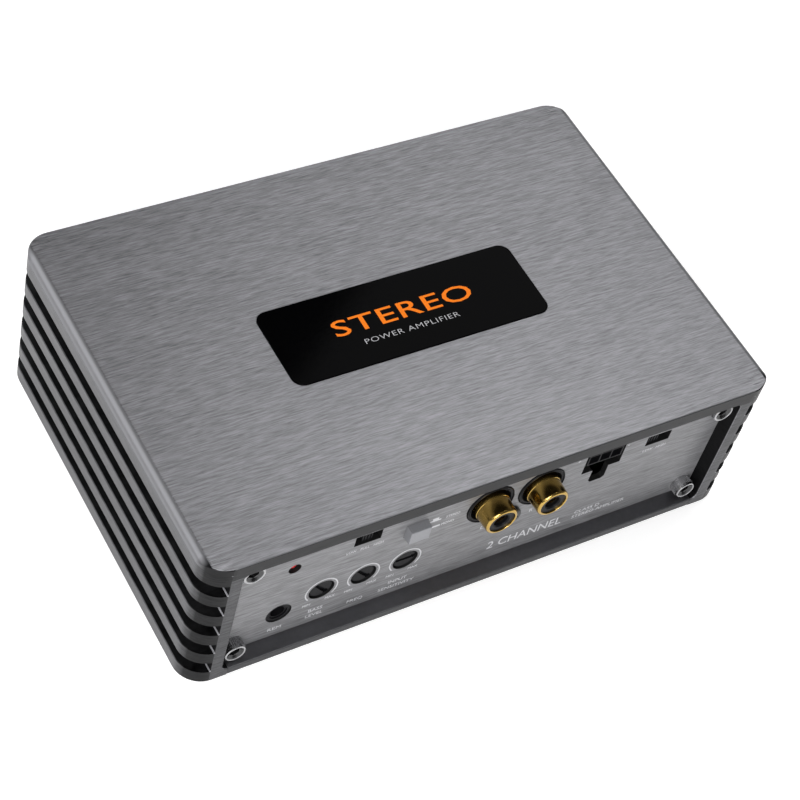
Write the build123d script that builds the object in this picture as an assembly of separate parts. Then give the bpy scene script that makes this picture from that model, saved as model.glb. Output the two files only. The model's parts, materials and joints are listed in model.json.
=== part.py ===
from build123d import *
import os

# Compact two-channel car amplifier: an extruded aluminium housing with finned sides, closed below
# by a flat plate and at both ends by panels set back inside it. Units are millimetres.
# The origin is the centre of the underside, +X to the right, the controls face -Y, +Z is up.

# Body
BODY_W = 150.0
BODY_D = 100.0
BODY_H = 44.0
FRONT = -BODY_D / 2
REAR = BODY_D / 2
CORNER_R = 6.7
TOP_EDGE_R = 2.1
EDGE_BREAK = 0.2

# Side fins: lands and grooves of equal height above a plain foot
GROOVES = 5
FIN_H = 3.8
GROOVE_DEPTH = 5.9
GROOVE_FLOOR_X = BODY_W / 2 - GROOVE_DEPTH
GROOVE_FILLET = 0.45
LAND_FILLET = 0.25

# Inside of the housing
CAVITY_HALF_W = 66.1
FLOOR_Z = 2.5
CEILING_Z = 40.0
CAVITY_R = 1.5
CAVITY_MID_Z = (FLOOR_Z + CEILING_Z) / 2
SEAM_X = CAVITY_HALF_W - CAVITY_R
SEAM_GAP = 0.1

# End panels
PANEL_RECESS = 4.0
PANEL_T = 1.5
PANEL_GAP = 0.1
PANEL_FACE = FRONT + PANEL_RECESS
PANEL_BACK = PANEL_FACE + PANEL_T
REAR_FACE = REAR - PANEL_RECESS
REAR_BACK = REAR_FACE - PANEL_T

# M3 thread, clearance and loose holes
M3_SHANK_R = 1.45
M3_HOLE_R = 1.5
M3_CLEAR_R = 1.6
M3_LOOSE_R = 1.7
WASHER_HEAD_R = 2.8

# Panel screws in the four corners, with socket cap heads, and the rails they are tapped into
SCREW_X = 62.6
SCREW_LOW_Z = 5.7
SCREW_HIGH_Z = 36.8
CAP_HEAD_R = 2.75
CAP_HEAD_H = 3.0
CAP_HEAD_CHAMFER = 0.3
CAP_SOCKET_R = 1.45
CAP_SOCKET_DEPTH = 1.5
SCREW_REACH = 9.0
TAP_DEPTH = 12.0
RAIL_X = 58.4
RAIL_H = 6.5
RAIL_ROOT = 0.5

# Countersunk screws of the bottom plate
BOTTOM_SCREW_X = 61.2
BOTTOM_SCREW_Y = 25.0
BOTTOM_TAP_DEPTH = 5.5
SINK_R = 3.0
SINK_DEPTH = 1.8
SINK_HEAD_R = 2.8
SINK_HEAD_LOW = 0.1
SINK_HEAD_HIGH = 1.6
SINK_SOCKET_R = 1.15
SINK_SOCKET_DEPTH = 1.0
SINK_SCREW_TOP = FLOOR_Z + 5.0

# Tapped holes in the underside for mounting brackets
BRACKET_HOLE_R = 2.0
BRACKET_X = 50.0
BRACKET_Y = 35.0

# Nameplate, let into the top
PLATE_W = 68.8
PLATE_D = 22.5
PLATE_R = 3.0
PLATE_T = 1.0
PLATE_CHAMFER = 0.15
POCKET_DEPTH = 0.8
POCKET_GAP = 0.1

# Boards
CONTROL_BOARD_Y = -37.0
CONTROL_BOARD_HALF_W = 57.5
CONTROL_BOARD_LOW = 4.0
CONTROL_BOARD_HIGH = 38.5
BOARD_T = 1.6
MAIN_BOARD_Z = 8.0
MAIN_BOARD_TOP = MAIN_BOARD_Z + BOARD_T
MAIN_BOARD_FRONT = -33.0
MAIN_BOARD_REAR = 41.0
MAIN_BOARD_HALF_W = 57.0
LINK_HALF_W = 20.0
LINK_DEPTH = 3.0
LINK_H = 2.5
STANDOFF_X = 48.0
STANDOFF_Y = 22.0
STANDOFF_R = 2.8
BOARD_SCREW_H = 1.8
BOARD_SCREW_SLOT = (3.0, 0.7)
HEAD_FILLET = 0.9

# Front parts stand between the panel and the control board
BODY_BACK = CONTROL_BOARD_Y
BODY_FRONT = PANEL_BACK + 0.1
RUNNING_GAP = 0.05

# Trimmer potentiometers
POT_Z = 15.4
POT_X = {"bass": -41.0, "frequency": -30.1, "level": -19.1}
POT_SLOT_ANGLE = {"bass": -52.0, "frequency": -50.0, "level": 0.0}
POT_HOLE_R = 3.3
POT_BODY_HALF_W = 4.6
POT_BODY_HALF_H = 5.0
ROTOR_R = 3.0
ROTOR_FACE = PANEL_FACE + 0.4
ROTOR_BACK = -43.3
ROTOR_SHAFT_R = 2.0
ROTOR_END = -40.0
ROTOR_CHAMFER = 0.25
ROTOR_END_GAP = 0.2
SLOT_LENGTH = 4.6
SLOT_W = 0.9
SLOT_DEPTH = 0.9
ARROW_SIDE = 1.8

# Remote control jack and status lamp
JACK_X = -51.3
JACK_Z = 11.6
JACK_HOLE_R = 3.25
JACK_NOSE_R = 3.1
JACK_NOSE_FACE = PANEL_FACE + 0.3
JACK_RING_R = 2.35
JACK_RING_DEPTH = 0.3
JACK_BORE_R = 1.8
JACK_HALF_W = 4.5
JACK_HALF_H = 4.2
JACK_TAIL_R = 3.0
JACK_TAIL_END = -33.2
JACK_END_WALL = 0.6
LED_X = -50.1
LED_Z = 28.7
LED_HOLE_R = 1.6
LED_R = 1.5
LED_FACE = PANEL_FACE + 0.6
LED_BASE_R = 1.9
LED_BASE_FRONT = -41.0
LED_BASE_BACK = -40.2
LED_LEAD_X = 0.8
LED_LEAD_HALF_T = 0.2

# Three-way filter switch and two-way input switch
FILTER_X = -32.0
FILTER_Z = 31.0
INPUT_X = 47.4
INPUT_Z = 30.75
SWITCH_SLOT_W = 6.9
SWITCH_SLOT_H = 3.5
SWITCH_HALF_H = 3.2
SWITCH_WALL = 1.0
FILTER_LUG_W = 2.6
FILTER_BASE_W = 4.6
FILTER_TRAVEL = 4.0
INPUT_LUG_W = 3.5
INPUT_BASE_W = 4.5
INPUT_TRAVEL = 3.0
CHAMBER_FRONT = -43.7
CHAMBER_BACK = -40.9
CHAMBER_HALF_H = 2.3
SLIDER_GAP = 0.1
LUG_FACE = PANEL_FACE + 0.5
LUG_H = SWITCH_SLOT_H - 0.5
LUG_RIB_PITCH = 0.8
LUG_RIB_GAP = 0.4
LUG_RIB_DEPTH = 0.3

# Latching push button
BUTTON_X = -19.15
BUTTON_Z = 27.95
BUTTON_HOLE_W = 5.6
BUTTON_HOLE_H = 4.7
BUTTON_W = 5.3
BUTTON_H = 4.3
BUTTON_FILLET = 0.25
BUTTON_FACE = PANEL_FACE - 2.2
BUTTON_BACK = -43.2
BUTTON_SWITCH_FRONT = -41.0
BUTTON_SWITCH_HALF = 4.2
STEM_R = 1.4
STEM_END = -39.3
STEM_ROOM = 0.2
SPRING_R = 1.85
SPRING_WIRE_R = 0.1
SPRING_TURNS = 3
SPRING_GAP = 0.02

# Phono input jacks
RCA_X = {"left": 1.0, "right": 15.05}
RCA_Z = 27.2
RCA_MID_X = (RCA_X["left"] + RCA_X["right"]) / 2
RCA_HOLE_R = 6.35
COLLAR_R = 6.2
COLLAR_BORE_R = 5.3
COLLAR_FACE = PANEL_FACE - 0.1
RCA_BLOCK_SIDE = 7.0
RCA_BLOCK_ABOVE = 7.2
RCA_BLOCK_BELOW = 3.2
BARREL_R = 4.15
BARREL_BORE_R = 3.35
BARREL_FACE = PANEL_FACE - 5.5
BARREL_END = -43.0
BARREL_FILLET = 0.5
FLANGE_R = 4.65
FLANGE_T = 1.2
INSULATOR_FACE = BARREL_FACE + 0.4
INSULATOR_CHAMFER = 0.3
CONTACT_R = 1.9
CONTACT_BORE_R = 1.6
CONTACT_FACE = BARREL_FACE + 1.6
CONTACT_END = -38.0
RCA_SCREW_Z = 20.3
RCA_SCREW_HEAD_R = 2.5
RCA_SCREW_HEAD_H = 1.7
RCA_SCREW_FILLET = 0.8
RCA_SCREW_SLOT = (2.6, 0.6)
RCA_SCREW_SLOT_DEPTH = 1.0
RCA_SCREW_END = -39.0
RCA_TAP_END = -38.5

# High-level input connector: two rows of three cells
CONNECTOR_X = 32.0
CONNECTOR_BOTTOM = 29.2
CELL = 2.85
CELL_PITCH = 3.15
CELL_WALL = 0.375
CELL_COLUMNS = 3
CELL_ROWS = 2
CELL_DEPTH = 7.5
PIN_SIDE = 1.0
PIN_TIP = -44.0
CONNECTOR_W = CELL_COLUMNS * CELL_PITCH + CELL_WALL
CONNECTOR_H = CELL_ROWS * CELL_PITCH + CELL_WALL
CUTOUT_W = 11.0
CUTOUT_LOW = 26.2
CUTOUT_HIGH = 36.4
NOTCH_W = 4.6
NOTCH_LOW = 21.5
NOTCH_CHAMFER = 0.7
CATCH_HALF_W = 1.8
CATCH_H = 1.0
CATCH_FRONT = -43.5
CATCH_BACK = -42.0

# Rear terminals
BLOCK_LOW = MAIN_BOARD_TOP
BLOCK_H = 12.0
BLOCK_MID_Z = BLOCK_LOW + BLOCK_H / 2
BLOCK_FRONT = 36.0
BLOCK_FACE = REAR_FACE + 1.0
BLOCK_TAP_DEPTH = 8.0
DIVIDER_END = 51.5
DIVIDER_T = 1.5
POWER_X = 36.5
POWER_WAYS = 3
POWER_PITCH = 11.0
POWER_SCREW_R = 2.0
SPEAKER_X = -36.5
SPEAKER_WAYS = 4
SPEAKER_PITCH = 8.5
SPEAKER_SCREW_R = 1.75
CLAMP_T = 1.0
CLAMP_GAP = 0.6
TERMINAL_HEAD_RATIO = 1.75
TERMINAL_HEAD_H = 2.3
TERMINAL_SLOT = (3.6, 0.9)
TERMINAL_SLOT_DEPTH = 1.1
TERMINAL_SCREW_REACH = 7.0
OPENING_GAP = 0.2

# Blade fuse and its holder
FUSE_W = 19.0
FUSE_T = 5.0
FUSE_Z = BLOCK_MID_Z
FUSE_SEAT = 43.7
FUSE_SHOULDER = 49.0
FUSE_END = 51.3
FUSE_GRIP_W = 16.0
FUSE_GRIP_T = 4.0
FUSE_WINDOW_W = 10.0
FUSE_WINDOW_T = 2.4
FUSE_WINDOW_DEPTH = 1.0
BLADE_X = 7.1
BLADE_W = 5.2
BLADE_T = 0.7
BLADE_TIP = 36.0
HOLDER_W = 23.0
HOLDER_H = 9.0
HOLDER_FRONT = 32.0
HOLDER_FLOOR = 43.5
HOLDER_GAP = 0.6
HOLDER_SLOT_FRONT = 35.5
HOLDER_SLOT_GAP = 0.2

# Power parts inside
TRANSISTOR_Y = (-22.5, -7.5, 7.5, 22.5)
TRANSISTOR_T = 4.5
TRANSISTOR_W = 10.0
TRANSISTOR_LOW = 12.0
TRANSISTOR_HIGH = 27.5
TRANSISTOR_MID_Z = (TRANSISTOR_LOW + TRANSISTOR_HIGH) / 2
PAD_T = 0.3
PAD_HALF_D = 29.0
PAD_MARGIN = 1.0
CLAMP_FACE_X = CAVITY_HALF_W - PAD_T - TRANSISTOR_T
CLAMP_SCREW_Y = 15.0
CLAMP_TAP_DEPTH = 2.4
CLAMP_SCREW_DEPTH = 2.2
CLAMP_HEAD_H = 2.2
BAR_HALF_D = 28.0
BAR_HALF_H = 4.0
BAR_T = 2.0
LEAD_PITCH = 2.54
LEAD_HALF_W = 0.4
LEAD_T = 0.6
LEAD_DOWN_X = 63.0
LEAD_FOOT_X = 55.0
LEAD_LOW = 9.9
LEAD_MID = 10.4
LEAD_HIGH = 10.5
CAPACITORS = ((8.0, -18.0), (22.0, -18.0), (36.0, -18.0), (22.0, 0.0))
CAPACITOR_R = 6.25
CAPACITOR_H = 22.0
CAPACITOR_FILLET = 0.7
INDUCTORS = ((-32.0, -12.0), (-32.0, 12.0), (-8.0, 8.0))
INDUCTOR_R = 7.5
INDUCTOR_WIRE_R = 3.4


def block(x0, x1, y0, y1, z0, z1):
    """Box between two corners."""
    return Pos((x0 + x1) / 2, (y0 + y1) / 2, (z0 + z1) / 2) * Box(x1 - x0, y1 - y0, z1 - z0)


def along_y(shape, x, z, y0, y1):
    """Flat shape drawn in X and Z at (x, z), given its depth from y0 to y1."""
    return Pos(x, y1, z) * Rot(90, 0, 0) * extrude(shape, y1 - y0)


def rod_y(x, z, r, y0, y1):
    """Cylinder along Y."""
    return along_y(Circle(r), x, z, y0, y1)


def rod_z(x, y, r, z0, z1):
    """Cylinder along Z."""
    return Pos(x, y, z0) * extrude(Circle(r), z1 - z0)


def rod_x(y, z, r, x0, x1):
    """Cylinder along X."""
    return Pos(x0, y, z) * Rot(0, 90, 0) * extrude(Circle(r), x1 - x0)


def tube_y(x, z, r, bore, y0, y1):
    """Round tube along Y."""
    return rod_y(x, z, r, y0, y1) - rod_y(x, z, bore, y0, y1)


def cross(size):
    """Width and height of the two arms of a cross slot."""
    length, width = size
    return ((length, width), (width, length))


def mirrored(x_inner, x_outer, side):
    """Lower and upper X of a piece between two distances from the middle, on one side."""
    return sorted((side * x_inner, side * x_outer))


def four_places(x, y):
    """The four corners of a rectangle about the middle."""
    return [(sx * x, sy * y) for sx in (-1, 1) for sy in (-1, 1)]


def corner_screw_places():
    """X and Z of the four corner screws of a panel."""
    return [(side * SCREW_X, z) for side in (-1, 1) for z in (SCREW_LOW_Z, SCREW_HIGH_Z)]


def group(solids):
    """Separate solids of one kind, kept together in one node."""
    return Compound(children=[s if isinstance(s, Solid) else s.solid() for s in solids])


# Housing and covers


def corners_at(outline, x, low, high):
    """Corners of an outline at a distance from its middle line, between two heights."""
    return [v for v in outline.vertices() if abs(abs(v.X) - x) < SEAM_GAP and low < v.Y < high]


def housing_profile():
    """Section of the extrusion: top, finned sides and the toes that hold the bottom plate."""
    outline = Pos(0, BODY_H / 2) * Rectangle(BODY_W, BODY_H)
    outline = fillet(outline.vertices().group_by(Axis.Y)[-1], TOP_EDGE_R)
    for side in (-1, 1):
        for n in range(GROOVES):
            z = FIN_H * (2 * n + 1.5)
            x = side * (BODY_W - GROOVE_DEPTH) / 2
            outline -= Pos(x, z) * Rectangle(GROOVE_DEPTH, FIN_H)
    highest = FIN_H * (2 * GROOVES + 0.5)
    outline = fillet(corners_at(outline, GROOVE_FLOOR_X, 0, highest), GROOVE_FILLET)
    outline = fillet(corners_at(outline, BODY_W / 2, FIN_H / 2, highest), LAND_FILLET)
    cavity = RectangleRounded(2 * CAVITY_HALF_W, CEILING_Z - FLOOR_Z, CAVITY_R)
    outline -= Pos(0, CAVITY_MID_Z) * cavity
    outline -= Pos(0, FLOOR_Z / 2) * Rectangle(2 * SEAM_X, FLOOR_Z)
    return outline


def screw_rail(side, z):
    """Rail along a side wall that the panel screws are tapped into."""
    x0, x1 = mirrored(RAIL_X, CAVITY_HALF_W + RAIL_ROOT, side)
    if z < CAVITY_MID_Z:
        low, high = FLOOR_Z, FLOOR_Z + RAIL_H
    else:
        low, high = CEILING_Z - RAIL_H, CEILING_Z + RAIL_ROOT
    rail = block(x0, x1, PANEL_BACK, REAR_BACK, low, high)
    for y0, y1 in ((PANEL_BACK, PANEL_BACK + TAP_DEPTH), (REAR_BACK - TAP_DEPTH, REAR_BACK)):
        rail -= rod_y(side * SCREW_X, z, M3_HOLE_R, y0, y1)
    return rail


def heatsink_housing():
    shell = along_y(housing_profile(), 0, 0, FRONT, REAR)
    plan = extrude(RectangleRounded(BODY_W, BODY_D, CORNER_R), BODY_H)
    shell &= chamfer(plan.faces().sort_by(Axis.Z)[-1].edges(), EDGE_BREAK)
    mouth = RectangleRounded(2 * CAVITY_HALF_W, CEILING_Z - FLOOR_Z, CAVITY_R)
    flare = extrude(offset(mouth, EDGE_BREAK), EDGE_BREAK, taper=45)
    shell -= Pos(0, FRONT, CAVITY_MID_Z) * Rot(-90, 0, 0) * flare
    shell -= Pos(0, REAR, CAVITY_MID_Z) * Rot(90, 0, 0) * flare
    pocket = RectangleRounded(PLATE_W + 2 * POCKET_GAP, PLATE_D + 2 * POCKET_GAP, PLATE_R)
    shell -= Pos(0, 0, BODY_H - POCKET_DEPTH) * extrude(pocket, POCKET_DEPTH)
    for side in (-1, 1):
        for z in (SCREW_LOW_Z, SCREW_HIGH_Z):
            shell += screw_rail(side, z)
        x0, x1 = mirrored(CAVITY_HALF_W, CAVITY_HALF_W + CLAMP_TAP_DEPTH, side)
        for y in (-CLAMP_SCREW_Y, CLAMP_SCREW_Y):
            shell -= rod_x(y, TRANSISTOR_MID_Z, M3_HOLE_R, x0, x1)
    for x, y in four_places(BOTTOM_SCREW_X, BOTTOM_SCREW_Y):
        shell -= rod_z(x, y, M3_HOLE_R, FLOOR_Z, FLOOR_Z + BOTTOM_TAP_DEPTH)
    return shell


def bottom_plate():
    half_w = SEAM_X - SEAM_GAP
    sheet = block(-half_w, half_w, FRONT, REAR, 0, FLOOR_Z)
    front_and_rear = sheet.faces().filter_by(Axis.Y).edges().filter_by(Axis.X)
    sheet = chamfer(front_and_rear, EDGE_BREAK)
    for x, y in four_places(BOTTOM_SCREW_X, BOTTOM_SCREW_Y):
        sheet -= rod_z(x, y, M3_CLEAR_R, 0, FLOOR_Z)
        sheet -= Pos(x, y, SINK_DEPTH / 2) * Cone(SINK_R, M3_CLEAR_R, SINK_DEPTH)
    for x, y in four_places(BRACKET_X, BRACKET_Y):
        sheet -= rod_z(x, y, BRACKET_HOLE_R, 0, FLOOR_Z)
    return sheet


def countersunk_screw(x, y):
    """Flat-headed screw from below."""
    head_h = SINK_HEAD_HIGH - SINK_HEAD_LOW
    screw = Pos(x, y, SINK_HEAD_LOW + head_h / 2) * Cone(SINK_HEAD_R, M3_SHANK_R, head_h)
    screw += rod_z(x, y, M3_SHANK_R, SINK_HEAD_HIGH - SINK_HEAD_LOW, SINK_SCREW_TOP)
    return screw - Pos(x, y, 0) * extrude(RegularPolygon(SINK_SOCKET_R, 6), SINK_SOCKET_DEPTH)


def bottom_plate_screws():
    return group([countersunk_screw(x, y) for x, y in four_places(BOTTOM_SCREW_X, BOTTOM_SCREW_Y)])


def nameplate():
    badge = extrude(RectangleRounded(PLATE_W, PLATE_D, PLATE_R), PLATE_T)
    badge = chamfer(badge.faces().sort_by(Axis.Z)[-1].edges(), PLATE_CHAMFER)
    return Pos(0, 0, BODY_H - POCKET_DEPTH) * badge


def blank_panel(y0, y1):
    """Panel that fills the end of the housing, with its four corner holes."""
    w = 2 * (CAVITY_HALF_W - PANEL_GAP)
    h = CEILING_Z - FLOOR_Z - 2 * PANEL_GAP
    panel = along_y(RectangleRounded(w, h, CAVITY_R), 0, CAVITY_MID_Z, y0, y1)
    for x, z in corner_screw_places():
        panel -= rod_y(x, z, M3_LOOSE_R, y0, y1)
    return panel


def connector_cutout():
    """Outline of the connector opening, with the notch that clears the plug's latch."""
    window = Pos(0, (CUTOUT_LOW + CUTOUT_HIGH) / 2) * Rectangle(CUTOUT_W, CUTOUT_HIGH - CUTOUT_LOW)
    notch = Pos(0, (NOTCH_LOW + CUTOUT_LOW) / 2) * Rectangle(NOTCH_W, CUTOUT_LOW - NOTCH_LOW)
    notch = chamfer(notch.vertices().group_by(Axis.Y)[0], NOTCH_CHAMFER)
    return window + notch


def front_panel():
    y0, y1 = PANEL_FACE, PANEL_BACK
    panel = blank_panel(y0, y1)
    round_holes = [(x, POT_Z, POT_HOLE_R) for x in POT_X.values()]
    round_holes += [(x, RCA_Z, RCA_HOLE_R) for x in RCA_X.values()]
    round_holes += [(JACK_X, JACK_Z, JACK_HOLE_R), (LED_X, LED_Z, LED_HOLE_R)]
    round_holes += [(RCA_MID_X, RCA_SCREW_Z, M3_CLEAR_R)]
    for x, z, r in round_holes:
        panel -= rod_y(x, z, r, y0, y1)
    panel -= along_y(Rectangle(SWITCH_SLOT_W, SWITCH_SLOT_H), FILTER_X, FILTER_Z, y0, y1)
    panel -= along_y(Rectangle(SWITCH_SLOT_W, SWITCH_SLOT_H), INPUT_X, INPUT_Z, y0, y1)
    panel -= along_y(Rectangle(BUTTON_HOLE_W, BUTTON_HOLE_H), BUTTON_X, BUTTON_Z, y0, y1)
    panel -= along_y(connector_cutout(), CONNECTOR_X, 0, y0, y1)
    return panel


def rear_panel():
    y0, y1 = REAR_BACK, REAR_FACE
    panel = blank_panel(y0, y1)
    for x, w, h in (
        (POWER_X, block_width(POWER_WAYS, POWER_PITCH), BLOCK_H),
        (SPEAKER_X, block_width(SPEAKER_WAYS, SPEAKER_PITCH), BLOCK_H),
        (0, HOLDER_W, HOLDER_H),
    ):
        opening = Rectangle(w + 2 * OPENING_GAP, h + 2 * OPENING_GAP)
        panel -= along_y(opening, x, BLOCK_MID_Z, y0, y1)
    return panel


def cap_screw(x, z, face, outward):
    """M3 socket cap screw along Y, its head standing on the panel face towards outward."""
    head_end = face + outward * CAP_HEAD_H
    y0, y1 = sorted((face, head_end))
    head = rod_y(x, z, CAP_HEAD_R, y0, y1)
    rim = head.faces().sort_by(Axis.Y)[0 if outward < 0 else -1].edges()
    head = chamfer(rim, CAP_HEAD_CHAMFER)
    y0, y1 = sorted((head_end, head_end - outward * CAP_SOCKET_DEPTH))
    head -= along_y(RegularPolygon(CAP_SOCKET_R, 6), x, z, y0, y1)
    y0, y1 = sorted((face, face - outward * (PANEL_T + SCREW_REACH)))
    return head + rod_y(x, z, M3_SHANK_R, y0, y1)


def panel_screws(face, outward):
    return group([cap_screw(x, z, face, outward) for x, z in corner_screw_places()])


# Controls on the front panel


def pot_body(name):
    x, w, h = POT_X[name], POT_BODY_HALF_W, POT_BODY_HALF_H
    body = block(x - w, x + w, BODY_FRONT, BODY_BACK, POT_Z - h, POT_Z + h)
    body -= rod_y(x, POT_Z, ROTOR_R + RUNNING_GAP, BODY_FRONT, ROTOR_BACK + 2 * RUNNING_GAP)
    shaft_room = rod_y(x, POT_Z, ROTOR_SHAFT_R + RUNNING_GAP, ROTOR_BACK, ROTOR_END + ROTOR_END_GAP)
    return body - shaft_room


def pot_rotor(name):
    """Screwdriver-turned disc with its shaft and slot."""
    x = POT_X[name]
    disc = rod_y(x, POT_Z, ROTOR_R, ROTOR_FACE, ROTOR_BACK)
    disc = chamfer(disc.faces().sort_by(Axis.Y)[0].edges(), ROTOR_CHAMFER)
    arrow = Triangle(a=ARROW_SIDE, b=ARROW_SIDE, c=ARROW_SIDE, align=Align.CENTER)
    cut = Rectangle(SLOT_LENGTH, SLOT_W) + Pos(SLOT_LENGTH / 2, 0) * Rot(0, 0, 180) * arrow
    cut = Rot(0, 0, POT_SLOT_ANGLE[name]) * cut
    disc -= along_y(cut, x, POT_Z, ROTOR_FACE, ROTOR_FACE + SLOT_DEPTH)
    return disc + rod_y(x, POT_Z, ROTOR_SHAFT_R, ROTOR_BACK, ROTOR_END)


def remote_jack():
    """3.5 mm socket: nose, box and the barrel that goes through the control board."""
    x, z, face = JACK_X, JACK_Z, JACK_NOSE_FACE
    jack = rod_y(x, z, JACK_NOSE_R, face, BODY_FRONT)
    jack += block(
        x - JACK_HALF_W, x + JACK_HALF_W, BODY_FRONT, BODY_BACK, z - JACK_HALF_H, z + JACK_HALF_H
    )
    jack += rod_y(x, z, JACK_TAIL_R, BODY_BACK, JACK_TAIL_END)
    jack -= rod_y(x, z, JACK_RING_R, face, face + JACK_RING_DEPTH)
    return jack - rod_y(x, z, JACK_BORE_R, face, JACK_TAIL_END - JACK_END_WALL)


def status_led():
    """Domed lamp on its base, with two leads to the board."""
    x, z, t = LED_X, LED_Z, LED_LEAD_HALF_T
    dome_y = LED_FACE + LED_R
    lens = Pos(x, dome_y, z) * Sphere(LED_R)
    lens += rod_y(x, z, LED_R, dome_y, LED_BASE_FRONT)
    lens += rod_y(x, z, LED_BASE_R, LED_BASE_FRONT, LED_BASE_BACK)
    for lead_x in (x - LED_LEAD_X, x + LED_LEAD_X):
        lens += block(lead_x - t, lead_x + t, LED_BASE_BACK - t, BODY_BACK, z - t, z + t)
    return lens


def slide_switch_body(slot_x, z, rest_x, base_w, travel_low, travel_high):
    """Switch box with a front slot and the chamber that the slider's base runs in."""
    low = rest_x + travel_low - base_w / 2 - SLIDER_GAP
    high = rest_x + travel_high + base_w / 2 + SLIDER_GAP
    left, right = low - SWITCH_WALL, high + SWITCH_WALL
    box = block(left, right, BODY_FRONT, BODY_BACK, z - SWITCH_HALF_H, z + SWITCH_HALF_H)
    box -= block(low, high, CHAMBER_FRONT, CHAMBER_BACK, z - CHAMBER_HALF_H, z + CHAMBER_HALF_H)
    slot = Rectangle(SWITCH_SLOT_W, SWITCH_SLOT_H)
    return box - along_y(slot, slot_x, z, BODY_FRONT, CHAMBER_FRONT + SLIDER_GAP)


def slider(x, z, lug_w, base_w):
    """Ribbed lug on its base."""
    base_front, base_back = CHAMBER_FRONT + SLIDER_GAP, CHAMBER_BACK - SLIDER_GAP
    base_h = 2 * (CHAMBER_HALF_H - SLIDER_GAP)
    lug = along_y(Rectangle(lug_w, LUG_H), x, z, LUG_FACE, base_front)
    gaps = int(lug_w / LUG_RIB_PITCH)
    for n in range(gaps):
        gap_x = x + (n - (gaps - 1) / 2) * LUG_RIB_PITCH
        lug -= along_y(Rectangle(LUG_RIB_GAP, LUG_H), gap_x, z, LUG_FACE, LUG_FACE + LUG_RIB_DEPTH)
    return lug + along_y(Rectangle(base_w, base_h), x, z, base_front, base_back)


def filter_switch_body():
    half = FILTER_TRAVEL / 2
    return slide_switch_body(FILTER_X, FILTER_Z, FILTER_X, FILTER_BASE_W, -half, half)


def filter_switch_slider():
    return slider(FILTER_X, FILTER_Z, FILTER_LUG_W, FILTER_BASE_W)


def input_rest_x():
    """The input switch's lug rests at the left end of its travel."""
    return INPUT_X - INPUT_TRAVEL / 2


def input_switch_body():
    return slide_switch_body(INPUT_X, INPUT_Z, input_rest_x(), INPUT_BASE_W, 0, INPUT_TRAVEL)


def input_switch_slider():
    return slider(input_rest_x(), INPUT_Z, INPUT_LUG_W, INPUT_BASE_W)


def mode_switch_body():
    x, z, half = BUTTON_X, BUTTON_Z, BUTTON_SWITCH_HALF
    box = block(x - half, x + half, BUTTON_SWITCH_FRONT, BODY_BACK, z - half, z + half)
    return box - rod_y(x, z, STEM_R + RUNNING_GAP, BUTTON_SWITCH_FRONT, BODY_BACK - STEM_ROOM)


def mode_button():
    cap = along_y(Rectangle(BUTTON_W, BUTTON_H), BUTTON_X, BUTTON_Z, BUTTON_FACE, BUTTON_BACK)
    cap = fillet(cap.faces().sort_by(Axis.Y)[0].edges(), BUTTON_FILLET)
    return cap + rod_y(BUTTON_X, BUTTON_Z, STEM_R, BUTTON_BACK, STEM_END)


def mode_button_spring():
    """Return spring round the stem, between the cap and the switch."""
    end_gap = SPRING_WIRE_R + SPRING_GAP
    length = BUTTON_SWITCH_FRONT - BUTTON_BACK - 2 * end_gap
    path = Helix(length / SPRING_TURNS, length, SPRING_R)
    start = Plane(origin=path @ 0, z_dir=path % 0)
    coil = sweep(start * Circle(SPRING_WIRE_R), path)
    return Pos(BUTTON_X, BUTTON_SWITCH_FRONT - end_gap, BUTTON_Z) * Rot(90, 0, 0) * coil


# Inputs


def rca_block():
    """Moulded block behind the panel, with a collar round each barrel."""
    x0, x1 = RCA_X["left"] - RCA_BLOCK_SIDE, RCA_X["right"] + RCA_BLOCK_SIDE
    z0, z1 = RCA_SCREW_Z - RCA_BLOCK_BELOW, RCA_Z + RCA_BLOCK_ABOVE
    body = block(x0, x1, BODY_FRONT, BODY_BACK, z0, z1)
    for x in RCA_X.values():
        body += tube_y(x, RCA_Z, COLLAR_R, COLLAR_BORE_R, COLLAR_FACE, BODY_FRONT)
        body -= rod_y(x, RCA_Z, BARREL_R, BODY_FRONT, BARREL_END)
        body -= rod_y(x, RCA_Z, CONTACT_R, BARREL_END, BODY_BACK)
    return body - rod_y(RCA_MID_X, RCA_SCREW_Z, M3_HOLE_R, BODY_FRONT, RCA_TAP_END)


def rca_barrel(name):
    x = RCA_X[name]
    barrel = rod_y(x, RCA_Z, BARREL_R, BARREL_FACE, BARREL_END)
    barrel = fillet(barrel.faces().sort_by(Axis.Y)[0].edges(), BARREL_FILLET)
    barrel += rod_y(x, RCA_Z, FLANGE_R, BODY_FRONT - FLANGE_T, BODY_FRONT)
    return barrel - rod_y(x, RCA_Z, BARREL_BORE_R, BARREL_FACE, BARREL_END)


def rca_insulators():
    plugs = []
    for x in RCA_X.values():
        plug = tube_y(x, RCA_Z, BARREL_BORE_R, CONTACT_R, INSULATOR_FACE, BARREL_END)
        hole_rim = plug.faces().sort_by(Axis.Y)[0].edges().sort_by(SortBy.RADIUS)[0]
        plugs.append(chamfer(hole_rim, INSULATOR_CHAMFER))
    return group(plugs)


def rca_contacts():
    ends = (CONTACT_FACE, CONTACT_END)
    return group([tube_y(x, RCA_Z, CONTACT_R, CONTACT_BORE_R, *ends) for x in RCA_X.values()])


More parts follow.
